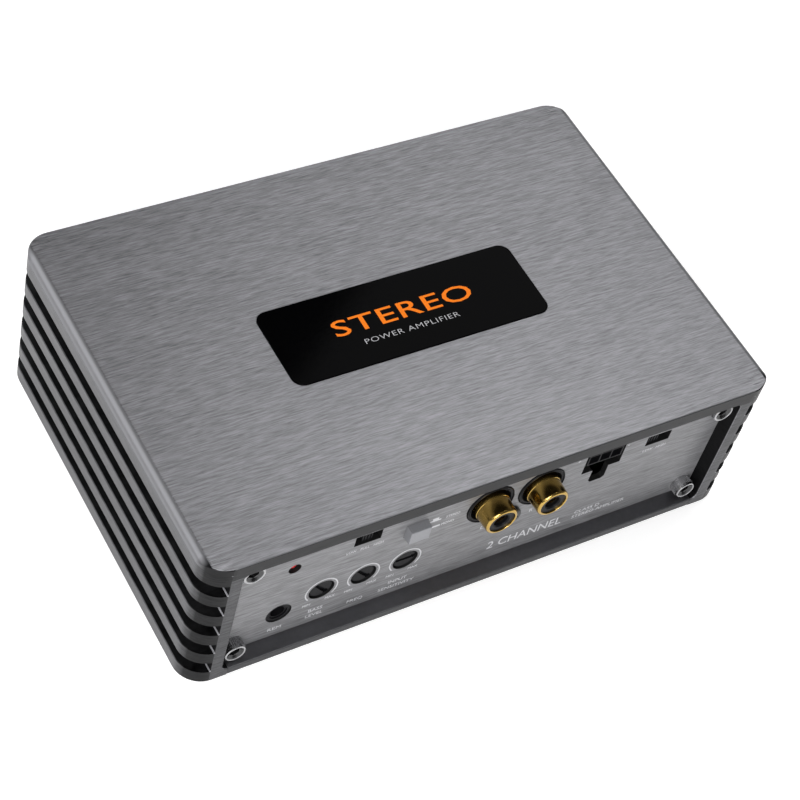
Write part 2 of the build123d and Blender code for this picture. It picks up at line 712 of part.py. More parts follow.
def rca_block_screw():
    """Pan-headed cross-slot screw below the barrels."""
    x, z = RCA_MID_X, RCA_SCREW_Z
    face = PANEL_FACE - RCA_SCREW_HEAD_H
    head = rod_y(x, z, RCA_SCREW_HEAD_R, face, PANEL_FACE)
    head = fillet(head.faces().sort_by(Axis.Y)[0].edges(), RCA_SCREW_FILLET)
    for w, h in cross(RCA_SCREW_SLOT):
        head -= along_y(Rectangle(w, h), x, z, face, face + RCA_SCREW_SLOT_DEPTH)
    return head + rod_y(x, z, M3_SHANK_R, PANEL_FACE, RCA_SCREW_END)


def centred_row(middle, count, pitch):
    """Places of a row of equal steps about its middle."""
    return [middle + (n - (count - 1) / 2) * pitch for n in range(count)]


def cell_places():
    """X and Z of the connector's cells."""
    columns = centred_row(CONNECTOR_X, CELL_COLUMNS, CELL_PITCH)
    rows = centred_row(CONNECTOR_BOTTOM + CONNECTOR_H / 2, CELL_ROWS, CELL_PITCH)
    return [(x, z) for z in rows for x in columns]


def input_connector():
    """Header with its cells, and the catch for the plug's latch under it."""
    x0, x1 = CONNECTOR_X - CONNECTOR_W / 2, CONNECTOR_X + CONNECTOR_W / 2
    header = block(x0, x1, PANEL_FACE, BODY_BACK, CONNECTOR_BOTTOM, CONNECTOR_BOTTOM + CONNECTOR_H)
    for x, z in cell_places():
        header -= along_y(Rectangle(CELL, CELL), x, z, PANEL_FACE, PANEL_FACE + CELL_DEPTH)
    x0, x1 = CONNECTOR_X - CATCH_HALF_W, CONNECTOR_X + CATCH_HALF_W
    z0, z1 = CONNECTOR_BOTTOM - CATCH_H, CONNECTOR_BOTTOM
    return header + block(x0, x1, CATCH_FRONT, CATCH_BACK, z0, z1)


def input_connector_pins():
    floor = PANEL_FACE + CELL_DEPTH
    pin = Rectangle(PIN_SIDE, PIN_SIDE)
    return group([along_y(pin, x, z, PIN_TIP, floor) for x, z in cell_places()])


# Boards


def control_board():
    w, y0, y1 = CONTROL_BOARD_HALF_W, CONTROL_BOARD_Y, CONTROL_BOARD_Y + BOARD_T
    board = block(-w, w, y0, y1, CONTROL_BOARD_LOW, CONTROL_BOARD_HIGH)
    return board - rod_y(JACK_X, JACK_Z, JACK_TAIL_R + 2 * PANEL_GAP, y0, y1)


def board_link_header():
    y0, y1 = CONTROL_BOARD_Y + BOARD_T, MAIN_BOARD_FRONT + LINK_DEPTH
    return block(-LINK_HALF_W, LINK_HALF_W, y0, y1, MAIN_BOARD_TOP, MAIN_BOARD_TOP + LINK_H)


def main_board():
    w = MAIN_BOARD_HALF_W
    board = block(-w, w, MAIN_BOARD_FRONT, MAIN_BOARD_REAR, MAIN_BOARD_Z, MAIN_BOARD_TOP)
    for x, y in four_places(STANDOFF_X, STANDOFF_Y):
        board -= rod_z(x, y, M3_CLEAR_R, MAIN_BOARD_Z, MAIN_BOARD_TOP)
    return board


def board_standoffs():
    posts = []
    for x, y in four_places(STANDOFF_X, STANDOFF_Y):
        post = Pos(x, y, FLOOR_Z) * extrude(RegularPolygon(STANDOFF_R, 6), MAIN_BOARD_Z - FLOOR_Z)
        posts.append(post - rod_z(x, y, M3_HOLE_R, FLOOR_Z, MAIN_BOARD_Z))
    return group(posts)


def board_screw(x, y):
    top = MAIN_BOARD_TOP + BOARD_SCREW_H
    screw = rod_z(x, y, WASHER_HEAD_R, MAIN_BOARD_TOP, top)
    screw = fillet(screw.faces().sort_by(Axis.Z)[-1].edges(), HEAD_FILLET)
    screw += rod_z(x, y, M3_SHANK_R, FLOOR_Z + BOARD_SCREW_H / 2, MAIN_BOARD_TOP)
    for w, d in cross(BOARD_SCREW_SLOT):
        screw -= Pos(x, y, top - BOARD_SCREW_H / 2) * extrude(Rectangle(w, d), BOARD_SCREW_H / 2)
    return screw


def board_screws():
    return group([board_screw(x, y) for x, y in four_places(STANDOFF_X, STANDOFF_Y)])


# Power parts inside


def thermal_pads():
    pads = []
    for side in (-1, 1):
        x0, x1 = mirrored(CAVITY_HALF_W - PAD_T, CAVITY_HALF_W, side)
        z0, z1 = TRANSISTOR_LOW - PAD_MARGIN, TRANSISTOR_HIGH + PAD_MARGIN
        pad = block(x0, x1, -PAD_HALF_D, PAD_HALF_D, z0, z1)
        for y in (-CLAMP_SCREW_Y, CLAMP_SCREW_Y):
            pad -= rod_x(y, TRANSISTOR_MID_Z, M3_LOOSE_R, x0, x1)
        pads.append(pad)
    return group(pads)


def power_transistor(side, y):
    """Moulded package against the wall, with three leads down to the board."""
    x0, x1 = mirrored(CLAMP_FACE_X, CLAMP_FACE_X + TRANSISTOR_T, side)
    half = TRANSISTOR_W / 2
    body = block(x0, x1, y - half, y + half, TRANSISTOR_LOW, TRANSISTOR_HIGH)
    for lead_y in (y - LEAD_PITCH, y, y + LEAD_PITCH):
        y0, y1 = lead_y - LEAD_HALF_W, lead_y + LEAD_HALF_W
        for inner, outer, z0, z1 in (
            (LEAD_DOWN_X, LEAD_DOWN_X + LEAD_T, LEAD_MID, TRANSISTOR_LOW),
            (LEAD_FOOT_X, LEAD_DOWN_X + LEAD_T, LEAD_LOW, LEAD_HIGH),
            (LEAD_FOOT_X, LEAD_FOOT_X + LEAD_T, MAIN_BOARD_TOP, LEAD_HIGH),
        ):
            x0, x1 = mirrored(inner, outer, side)
            body += block(x0, x1, y0, y1, z0, z1)
    return body


def power_transistors():
    return group([power_transistor(side, y) for side in (-1, 1) for y in TRANSISTOR_Y])


def transistor_clamp_bars():
    bars = []
    z0, z1 = TRANSISTOR_MID_Z - BAR_HALF_H, TRANSISTOR_MID_Z + BAR_HALF_H
    for side in (-1, 1):
        x0, x1 = mirrored(CLAMP_FACE_X - BAR_T, CLAMP_FACE_X, side)
        bar = block(x0, x1, -BAR_HALF_D, BAR_HALF_D, z0, z1)
        for y in (-CLAMP_SCREW_Y, CLAMP_SCREW_Y):
            bar -= rod_x(y, TRANSISTOR_MID_Z, M3_LOOSE_R, x0, x1)
        bars.append(bar)
    return group(bars)


def clamp_bar_screws():
    screws = []
    seat = CLAMP_FACE_X - BAR_T
    for side in (-1, 1):
        for y in (-CLAMP_SCREW_Y, CLAMP_SCREW_Y):
            x0, x1 = mirrored(seat - CLAMP_HEAD_H, seat, side)
            head = rod_x(y, TRANSISTOR_MID_Z, WASHER_HEAD_R, x0, x1)
            x0, x1 = mirrored(seat, CAVITY_HALF_W + CLAMP_SCREW_DEPTH, side)
            screws.append(head + rod_x(y, TRANSISTOR_MID_Z, M3_SHANK_R, x0, x1))
    return group(screws)


def filter_capacitors():
    cans = []
    for x, y in CAPACITORS:
        can = rod_z(x, y, CAPACITOR_R, MAIN_BOARD_TOP, MAIN_BOARD_TOP + CAPACITOR_H)
        cans.append(fillet(can.faces().sort_by(Axis.Z)[-1].edges(), CAPACITOR_FILLET))
    return group(cans)


def power_inductors():
    z = MAIN_BOARD_TOP + INDUCTOR_WIRE_R
    return group([Pos(x, y, z) * Torus(INDUCTOR_R, INDUCTOR_WIRE_R) for x, y in INDUCTORS])


# Rear terminals and fuse


def block_width(ways, pitch):
    return ways * pitch + DIVIDER_T


def terminal_block(mid_x, ways, pitch, screw_r):
    """Moulded block through the rear panel, with a wall on each side of every terminal."""
    half_w = block_width(ways, pitch) / 2
    z0, z1 = BLOCK_LOW, BLOCK_LOW + BLOCK_H
    body = block(mid_x - half_w, mid_x + half_w, BLOCK_FRONT, BLOCK_FACE, z0, z1)
    for x in centred_row(mid_x, ways + 1, pitch):
        body += block(x - DIVIDER_T / 2, x + DIVIDER_T / 2, BLOCK_FACE, DIVIDER_END, z0, z1)
    for x in centred_row(mid_x, ways, pitch):
        body -= rod_y(x, BLOCK_MID_Z, screw_r + RUNNING_GAP, BLOCK_FACE - BLOCK_TAP_DEPTH, BLOCK_FACE)
    return body


def terminal_clamps(mid_x, ways, pitch, screw_r):
    """Square washers under the terminal screws."""
    size = pitch - DIVIDER_T - CLAMP_GAP
    hole_r = screw_r + 2 * RUNNING_GAP
    y0, y1 = BLOCK_FACE, BLOCK_FACE + CLAMP_T
    plates = []
    for x in centred_row(mid_x, ways, pitch):
        plate = along_y(Rectangle(size, size), x, BLOCK_MID_Z, y0, y1)
        plates.append(plate - rod_y(x, BLOCK_MID_Z, hole_r, y0, y1))
    return group(plates)


def terminal_screws(mid_x, ways, pitch, screw_r):
    """Pan-headed cross-slot screws that hold the wires."""
    seat = BLOCK_FACE + CLAMP_T
    end = seat + TERMINAL_HEAD_H
    screws = []
    for x in centred_row(mid_x, ways, pitch):
        head = rod_y(x, BLOCK_MID_Z, screw_r * TERMINAL_HEAD_RATIO, seat, end)
        head = fillet(head.faces().sort_by(Axis.Y)[-1].edges(), HEAD_FILLET)
        for w, h in cross(TERMINAL_SLOT):
            head -= along_y(Rectangle(w, h), x, BLOCK_MID_Z, end - TERMINAL_SLOT_DEPTH, end)
        shank = rod_y(x, BLOCK_MID_Z, screw_r, BLOCK_FACE - TERMINAL_SCREW_REACH, seat)
        screws.append(head + shank)
    return group(screws)


def fuse_holder():
    """Socket with a slot for each blade."""
    body = along_y(Rectangle(HOLDER_W, HOLDER_H), 0, FUSE_Z, HOLDER_FRONT, BLOCK_FACE)
    well = Rectangle(FUSE_W + HOLDER_GAP, FUSE_T + HOLDER_GAP)
    body -= along_y(well, 0, FUSE_Z, HOLDER_FLOOR, BLOCK_FACE)
    slot = Rectangle(BLADE_W + HOLDER_SLOT_GAP, BLADE_T + HOLDER_SLOT_GAP)
    for x in (-BLADE_X, BLADE_X):
        body -= along_y(slot, x, FUSE_Z, HOLDER_SLOT_FRONT, HOLDER_FLOOR)
    return body


def blade_fuse():
    """Blade fuse: grip, body and two blades."""
    fuse = along_y(Rectangle(FUSE_W, FUSE_T), 0, FUSE_Z, FUSE_SEAT, FUSE_SHOULDER)
    fuse += along_y(Rectangle(FUSE_GRIP_W, FUSE_GRIP_T), 0, FUSE_Z, FUSE_SHOULDER, FUSE_END)
    window = Rectangle(FUSE_WINDOW_W, FUSE_WINDOW_T)
    fuse -= along_y(window, 0, FUSE_Z, FUSE_END - FUSE_WINDOW_DEPTH, FUSE_END)
    for x in (-BLADE_X, BLADE_X):
        fuse += along_y(Rectangle(BLADE_W, BLADE_T), x, FUSE_Z, BLADE_TIP, FUSE_SEAT)
    return fuse


def all_parts():
    """Every node of the amplifier by name."""
    power = (POWER_X, POWER_WAYS, POWER_PITCH, POWER_SCREW_R)
    speaker = (SPEAKER_X, SPEAKER_WAYS, SPEAKER_PITCH, SPEAKER_SCREW_R)
    parts = {
        "heatsink_housing": heatsink_housing(),
        "bottom_plate": bottom_plate(),
        "bottom_plate_screws": bottom_plate_screws(),
        "nameplate": nameplate(),
        "front_panel": front_panel(),
        "front_panel_screws": panel_screws(PANEL_FACE, -1),
        "rear_panel": rear_panel(),
        "rear_panel_screws": panel_screws(REAR_FACE, 1),
        "remote_jack": remote_jack(),
        "status_led": status_led(),
        "filter_switch_body": filter_switch_body(),
        "filter_switch_slider": filter_switch_slider(),
        "mode_switch_body": mode_switch_body(),
        "mode_button": mode_button(),
        "mode_button_spring": mode_button_spring(),
        "input_switch_body": input_switch_body(),
        "input_switch_slider": input_switch_slider(),
        "rca_block": rca_block(),
        "rca_insulators": rca_insulators(),
        "rca_contacts": rca_contacts(),
        "rca_block_screw": rca_block_screw(),
        "input_connector": input_connector(),
        "input_connector_pins": input_connector_pins(),
        "control_board": control_board(),
        "board_link_header": board_link_header(),
        "main_board": main_board(),
        "board_standoffs": board_standoffs(),
        "board_screws": board_screws(),
        "thermal_pads": thermal_pads(),
        "power_transistors": power_transistors(),
        "transistor_clamp_bars": transistor_clamp_bars(),
        "clamp_bar_screws": clamp_bar_screws(),
        "filter_capacitors": filter_capacitors(),
        "power_inductors": power_inductors(),
        "power_terminal_block": terminal_block(*power),
        "power_terminal_clamps": terminal_clamps(*power),
        "power_terminal_screws": terminal_screws(*power),
        "speaker_terminal_block": terminal_block(*speaker),
        "speaker_terminal_clamps": terminal_clamps(*speaker),
        "speaker_terminal_screws": terminal_screws(*speaker),
        "fuse_holder": fuse_holder(),
        "blade_fuse": blade_fuse(),
    }
    for name in POT_X:
        parts[f"{name}_pot_body"] = pot_body(name)
        parts[f"{name}_pot_rotor"] = pot_rotor(name)
    for name in RCA_X:
        parts[f"rca_{name}_barrel"] = rca_barrel(name)
    return parts


os.makedirs("parts", exist_ok=True)
for node, shape in all_parts().items():
    export_step(shape, f"parts/{node}.step")
    print(node)
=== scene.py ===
import json
import math
from types import SimpleNamespace

import bmesh
import bpy
from mathutils import Matrix, Vector


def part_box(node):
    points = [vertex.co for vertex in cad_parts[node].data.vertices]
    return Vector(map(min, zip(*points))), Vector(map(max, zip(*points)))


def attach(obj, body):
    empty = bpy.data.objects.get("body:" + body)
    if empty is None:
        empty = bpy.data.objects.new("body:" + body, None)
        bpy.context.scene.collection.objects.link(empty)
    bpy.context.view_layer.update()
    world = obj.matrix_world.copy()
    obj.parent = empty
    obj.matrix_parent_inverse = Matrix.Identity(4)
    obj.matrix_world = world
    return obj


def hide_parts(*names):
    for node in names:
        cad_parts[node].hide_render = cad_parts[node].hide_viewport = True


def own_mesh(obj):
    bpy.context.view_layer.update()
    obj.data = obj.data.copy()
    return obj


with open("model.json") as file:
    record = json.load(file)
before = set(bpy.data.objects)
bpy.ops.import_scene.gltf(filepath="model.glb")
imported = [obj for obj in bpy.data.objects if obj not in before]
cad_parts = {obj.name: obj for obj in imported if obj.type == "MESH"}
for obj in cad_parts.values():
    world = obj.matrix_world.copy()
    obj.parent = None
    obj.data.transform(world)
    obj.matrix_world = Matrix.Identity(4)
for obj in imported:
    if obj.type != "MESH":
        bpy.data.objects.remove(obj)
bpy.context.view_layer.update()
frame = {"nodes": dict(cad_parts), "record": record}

# A compact car amplifier: brushed aluminium housing with grooved sides, recessed control panel,
# phono jacks and rear terminals. Blender units are metres, so MM turns millimetres into them.
MM = 0.001
BODY = "amplifier"

# Driving places, read from the frame
HOUSING_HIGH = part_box("heatsink_housing")[1]
PANEL_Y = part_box("front_panel")[0].y
PANEL_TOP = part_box("front_panel")[1].z
REAR_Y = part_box("rear_panel")[1].y
PLATE_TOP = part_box("nameplate")[1].z

# Housing: outline corner, side grooves, and the heights where the flat top and the sides end
CORNER_R = 6.7 * MM
GROOVE_PITCH = 7.6 * MM
GROOVE_DEPTH = 5.9 * MM
TOP_FLAT_Z = HOUSING_HIGH.z - 0.02 * MM
TOP_SIDE_Z = HOUSING_HIGH.z - 2.1 * MM

# Panel screws: radius of a head, and how far in its middle is from the edge of the four's box
HEAD_R = 2.68 * MM
HEAD_REACH = 2.75 * MM


def middle(node):
    """Centre of a CAD node's box."""
    low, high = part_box(node)
    return (low + high) / 2


# Materials

# Most of a noise lies between the first two values, and most of a brushed tone between the others
NOISE_LOW, NOISE_HIGH = 0.3, 0.7
TONE_LOW, TONE_HIGH = 0.34, 0.66


class Finish:
    """A procedural material being made: its nodes read Object coordinates."""

    def __init__(self, name, metallic=0.0, specular=0.5, coat=0.0):
        self.material = bpy.data.materials.new(name)
        self.material.use_nodes = True
        self.tree = self.material.node_tree
        self.shader = self.tree.nodes["Principled BSDF"]
        self.shader.inputs["Metallic"].default_value = metallic
        self.shader.inputs["Specular IOR Level"].default_value = specular
        self.shader.inputs["Coat Weight"].default_value = coat
        coordinates = self.tree.nodes.new("ShaderNodeTexCoord")
        self.place = coordinates.outputs["Object"]

    def feed(self, socket, value):
        """Joins an output to a socket, or sets a plain value on it."""
        if isinstance(value, bpy.types.NodeSocket):
            self.tree.links.new(value, socket)
        else:
            socket.default_value = value

    def axes(self, letters):
        """The point's own coordinates along the axes named."""
        node = self.tree.nodes.new("ShaderNodeSeparateXYZ")
        self.feed(node.inputs[0], self.place)
        return [node.outputs[letter] for letter in letters]

    def stretched(self, scale):
        mapping = self.tree.nodes.new("ShaderNodeMapping")
        mapping.inputs["Scale"].default_value = scale
        self.feed(mapping.inputs["Vector"], self.place)
        return mapping.outputs["Vector"]

    def noise(self, scale, detail=2.0, roughness=0.5):
        """Noise with so many cells per metre along each axis."""
        texture = self.tree.nodes.new("ShaderNodeTexNoise")
        texture.inputs["Scale"].default_value = 1.0
        texture.inputs["Detail"].default_value = detail
        texture.inputs["Roughness"].default_value = roughness
        self.feed(texture.inputs["Vector"], self.stretched(scale))
        return texture.outputs["Fac"]

    def grain(self, cells, detail=2.0):
        """Noise with the same number of cells per metre along every axis."""
        return self.noise((cells, cells, cells), detail)

    def calc(self, operation, a, b=0.0):
        node = self.tree.nodes.new("ShaderNodeMath")
        node.operation = operation
        self.feed(node.inputs[0], a)
        self.feed(node.inputs[1], b)
        return node.outputs[0]

    def absolute(self, value):
        return self.calc("ABSOLUTE", value)

    def minus(self, a, b):
        return self.calc("SUBTRACT", a, b)

    def above(self, value, limit):
        return self.calc("GREATER_THAN", value, limit)

    def below(self, value, limit):
        return self.calc("LESS_THAN", value, limit)

    def product(self, first, *others):
        result = first
        for other in others:
            result = self.calc("MULTIPLY", result, other)
        return result

    def distance(self, a, b):
        """Length of the diagonal across a and b."""
        squares = self.calc("ADD", self.calc("POWER", a, 2), self.calc("POWER", b, 2))
        return self.calc("SQRT", squares)

    def ramp(self, value, start, end, low=0.0, high=1.0):
        """Value from start to end turned into low to high, and held outside."""
        node = self.tree.nodes.new("ShaderNodeMapRange")
        node.inputs["From Min"].default_value = start
        node.inputs["From Max"].default_value = end
        node.inputs["To Min"].default_value = low
        node.inputs["To Max"].default_value = high
        self.feed(node.inputs["Value"], value)
        return node.outputs["Result"]

    def vary(self, noise, low, high):
        """Noise turned into a value between low and high."""
        return self.ramp(noise, NOISE_LOW, NOISE_HIGH, low, high)

    def blend(self, factor, a, b):
        """Mix of two numbers or outputs."""
        node = self.tree.nodes.new("ShaderNodeMix")
        self.feed(node.inputs["Factor"], factor)
        self.feed(node.inputs["A"], a)
        self.feed(node.inputs["B"], b)
        return node.outputs["Result"]

    def colour(self, factor, dark, light):
        """Mix of two colours, each three numbers or an output."""
        node = self.tree.nodes.new("ShaderNodeMix")
        node.data_type = "RGBA"
        self.feed(node.inputs["Factor"], factor)
        for name, value in (("A", dark), ("B", light)):
            whole = (*value, 1.0) if isinstance(value, tuple) else value
            self.feed(node.inputs[name], whole)
        return node.outputs["Result"]

    def done(self, colour, roughness, relief, depth, strength):
        """Joins colour, roughness and a relief of that depth to the shader."""
        self.feed(self.shader.inputs["Base Color"], colour)
        self.feed(self.shader.inputs["Roughness"], roughness)
        bumper = self.tree.nodes.new("ShaderNodeBump")
        bumper.inputs["Distance"].default_value = depth
        bumper.inputs["Strength"].default_value = strength
        self.feed(bumper.inputs["Height"], relief)
        self.feed(self.shader.inputs["Normal"], bumper.outputs["Normal"])
        return self.material


def scaled(colour, factor):
    return tuple(c * factor for c in colour)


# Brushing: cells per metre, long along one axis and fine across it
LINES_ALONG_X = (240, 3600, 3600)
LINES_LEVEL = (260, 260, 4200)
STREAKS_ALONG_X = (130, 1700, 1700)
CLOUDS_ALONG_X = (14, 40, 40)

# Grain with no direction: cells per metre
MARK_CELLS = 900
MOULD_CELLS = 2500

# The metal's grey leans to blue, and its sawn ends are this thin skin
BLACK = (0, 0, 0)
BLUISH_WHITE = (1, 1, 1.055)
END_SKIN = 0.05 * MM


def fine_lines(f, cells=LINES_ALONG_X):
    return f.noise(cells, detail=3.0, roughness=0.6)


def streaks(f):
    return f.noise(STREAKS_ALONG_X, detail=4.0, roughness=0.65)


def groove_places(f, at, z, wide, inside):
    """Shares of the grooves, which get painted shade, and of the inner corner at the bottom of each,
    which gets a painted highlight.
    """
    step = f.calc("FRACT", f.calc("DIVIDE", z, GROOVE_PITCH))
    outside_floor = f.above(wide, HOUSING_HIGH.x - GROOVE_DEPTH - 0.05 * MM)
    between_lands = f.product(f.above(step, 0.503), outside_floor, f.minus(1, at.on_end))
    # Painted shade between the lands and on everything deeper than a few tenths of a millimetre inside
    # the outline
    groove = f.calc("MAXIMUM", f.ramp(inside, 0.14 * MM, 0.34 * MM), between_lands)
    # Painted highlight along the inner bottom corner of each groove
    low = f.product(f.above(step, 0.5), f.below(step, 0.55))
    inner = f.below(wide, HOUSING_HIGH.x - GROOVE_DEPTH + 0.26 * MM)
    return f.product(groove, at.below_top), f.product(low, inner, outside_floor, at.below_top)


def housing_places(f):
    """Shares of the housing's surface by place: each is 1 on the part it names and 0 off it."""
    at = SimpleNamespace()
    x, y, z = f.axes("XYZ")
    wide, deep = f.absolute(x), f.absolute(y)
    at.below_flat = f.below(z, TOP_FLAT_Z)
    at.below_top = f.below(z, TOP_SIDE_Z)
    at.below_round = f.ramp(z, TOP_SIDE_Z - 0.6 * MM, TOP_SIDE_Z + 0.8 * MM, 1, 0)
    at.on_round = f.minus(at.below_flat, at.below_top)
    at.on_side = f.ramp(wide, HOUSING_HIGH.x - 0.8 * MM, HOUSING_HIGH.x - 0.3 * MM)
    at.on_end = f.above(deep, HOUSING_HIGH.y - END_SKIN)
    at.over_panel = f.above(z, PANEL_TOP)
    # How far a point is outside the square part of the plan, and how deep inside its outline
    out_x = f.calc("MAXIMUM", f.minus(wide, HOUSING_HIGH.x - CORNER_R), 0)
    out_y = f.calc("MAXIMUM", f.minus(deep, HOUSING_HIGH.y - CORNER_R), 0)
    inside = f.minus(CORNER_R, f.distance(out_x, out_y))
    # The round corners, which get painted shade: full below the flat top but weak on the back's rounded
    # edge
    turning = f.ramp(out_y, 0.08 * CORNER_R, 0.5 * CORNER_R)
    at.on_corner = f.product(turning, f.ramp(out_x, 0, 0.1 * CORNER_R))
    at.corner_share = f.minus(at.below_flat, f.product(at.on_round, f.above(y, 0), 0.6))
    at.groove, at.inner_corner = groove_places(f, at, z, wide, inside)
    return at


def brushed_tone(f, at, lines):
    """Tone of the brushing: stronger on the corners and ends, none on the rounded top edges."""
    clouded = f.blend(0.12, lines, f.noise(CLOUDS_ALONG_X))
    tone = f.blend(0.20, clouded, streaks(f))
    spread = f.blend(f.calc("MAXIMUM", at.on_corner, at.on_end), 0.40, 0.70)
    spread = f.product(spread, f.minus(1, at.on_round))
    return f.calc("ADD", 1, f.product(spread, f.ramp(tone, TONE_LOW, TONE_HIGH, -1, 1)))


def housing_metal(top, rounded_highlight, side_shade, strip_shade, post_shade, corner, highlight_grey):
    """Grey anodised extrusion: brushed along X on top, level lines elsewhere, painted shade in the
    grooves.

    The greys are those of the top, its rounded edges (a painted highlight), the side lands, the sawn end
    above the panel, the sawn ends beside and below it and the round corners (all painted shade), and the
    grooves' inner corners (a painted highlight).
    """
    f = Finish("brushed grey housing", metallic=1.0)
    at = housing_places(f)
    lines = f.blend(at.below_flat, fine_lines(f), fine_lines(f, LINES_LEVEL))
    lines = f.blend(at.on_round, lines, 0.5)
    # Painted highlight: the rounded top edges get a brighter grey than the flat top
    level = f.blend(at.on_round, top, rounded_highlight)
    # Painted shade: the side lands and the sawn ends get darker greys, the end above the panel darkest
    level = f.blend(f.product(at.on_side, at.below_round), level, side_shade)
    # Painted shade on the round corners
    level = f.blend(f.product(at.on_corner, at.corner_share), level, corner)
    end = f.blend(at.over_panel, post_shade, strip_shade)
    level = f.blend(f.product(at.on_end, at.below_flat), level, end)
    # Painted shade in the grooves
    level = f.blend(at.groove, level, 0.09 * top)
    # Painted highlight on the grooves' inner corners
    level = f.blend(at.inner_corner, level, highlight_grey)
    grey = f.colour(f.product(level, brushed_tone(f, at, lines)), BLACK, BLUISH_WHITE)
    gloss = f.calc("ADD", f.vary(lines, 0.40, 0.48), f.product(at.groove, 0.2))
    return f.done(grey, gloss, lines, 0.03 * MM, 0.30)


def bottom_metal(inside, front):
    """Satin sheet whose ends are painted darker than the rest: painted shade."""
    f = Finish("bottom sheet", metallic=1.0)
    (y,) = f.axes("Y")
    on_end = f.above(f.absolute(y), HOUSING_HIGH.y - END_SKIN)
    grain = f.grain(MARK_CELLS)
    # The ends get a darker grey: painted shade
    shade = f.product(f.blend(on_end, inside, front), f.vary(grain, 0.95, 1.05))
    grey = f.colour(shade, BLACK, BLUISH_WHITE)
    return f.done(grey, f.vary(grain, 0.40, 0.46), grain, 0.01 * MM, 0.2)


def brushed_panel(colour, roughness):
    """Anodised sheet brushed along X: its fine lines scatter light as well as mirroring it."""
    f = Finish("brushed panel", metallic=0.15)
    (y,) = f.axes("Y")
    lines = fine_lines(f)
    tone = f.ramp(f.blend(0.4, lines, streaks(f)), TONE_LOW, TONE_HIGH)
    grey = f.colour(tone, scaled(colour, 0.52), scaled(colour, 1.48))
    # The walls of its holes, and all behind its front face, are painted near black: painted shade
    on_face = f.ramp(f.absolute(y), -PANEL_Y - 0.08 * MM, -PANEL_Y - 0.02 * MM)
    grey = f.colour(on_face, (0.01, 0.01, 0.01), grey)
    return f.done(grey, f.vary(lines, roughness - 0.04, roughness + 0.05), lines, 0.03 * MM, 0.25)


def faintly_marked(f, colour):
    """Marks of turned or plated metal, and its colour with them."""
    marks = f.grain(MARK_CELLS, 3.0)
    return marks, f.colour(marks, scaled(colour, 0.88), scaled(colour, 1.08))


def polished(f, marks, colour, roughness):
    """Finished metal whose marks show a little in gloss and relief."""
    gloss = f.vary(marks, roughness - 0.03, roughness + 0.05)
    return f.done(colour, gloss, marks, 0.01 * MM, 0.12)


def plain_metal(name, colour, roughness):
    """Turned or plated metal."""
    f = Finish(name, metallic=1.0)
    marks, tone = faintly_marked(f, colour)
    return polished(f, marks, tone, roughness)


def screw_steel(colour, roughness):
    """Plated socket screws: a bright rim round each panel screw's face and socket, which are painted
    dark: painted shade.
    """
    f = Finish("bright steel", metallic=1.0)
    x, z = f.axes("XZ")
    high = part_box("front_panel_screws")[1]
    centre = middle("front_panel_screws")
    across = f.minus(f.absolute(x), high.x - HEAD_REACH)
    up = f.minus(f.absolute(f.minus(z, centre.z)), high.z - centre.z - HEAD_REACH)
    marks, bright = faintly_marked(f, colour)
    # Inside the rim the face and socket are painted dark: painted shade
    rim = f.ramp(f.distance(across, up), HEAD_R - 0.66 * MM, HEAD_R - 0.50 * MM)
    return polished(f, marks, f.colour(rim, scaled(colour, 0.18), bright), roughness)


def plastic(name, colour, roughness, specular=0.5, coat=0.0):
    """Moulded plastic with a faint grain."""
    f = Finish(name, specular=specular, coat=coat)
    grain = f.grain(MOULD_CELLS)
    tone = f.colour(grain, scaled(colour, 0.85), scaled(colour, 1.1))
    return f.done(tone, f.vary(grain, roughness - 0.04, roughness + 0.06), grain, 0.02 * MM, 0.2)


def solder_mask(colour):
    """Green board with darker tracks."""
    f = Finish("green circuit board")
    tracks = f.ramp(f.noise((500, 60, 60), 1.0), 0.52, 0.56)
    return f.done(f.colour(tracks, colour, scaled(colour, 0.55)), 0.4, tracks, 0.03 * MM, 0.3)


def copper_winding(colour):
    """Enamelled wire wound round a core."""
    f = Finish("enamelled copper winding", metallic=1.0)
    turns = f.noise((1400, 1400, 80), 1.0)
    wire = f.colour(turns, scaled(colour, 0.5), colour)
    return f.done(wire, f.vary(turns, 0.3, 0.45), turns, 0.1 * MM, 0.6)


def lamp_red(bright, dark):
    """Red lamp with a painted glow: bright red in the middle, darker towards its rim."""
    f = Finish("red lamp", specular=0.15, coat=0.1)
    x, z = f.axes("XZ")
    centre = middle("status_led")
    out = f.distance(f.minus(x, centre.x), f.minus(z, centre.z))
    # Painted glow, bright in the middle and fading towards the rim
    red = f.colour(f.ramp(out, 0.3 * MM, 1.35 * MM), bright, dark)
    return f.done(red, 0.2, f.grain(2000, 1.0), 0.01 * MM, 0.1)


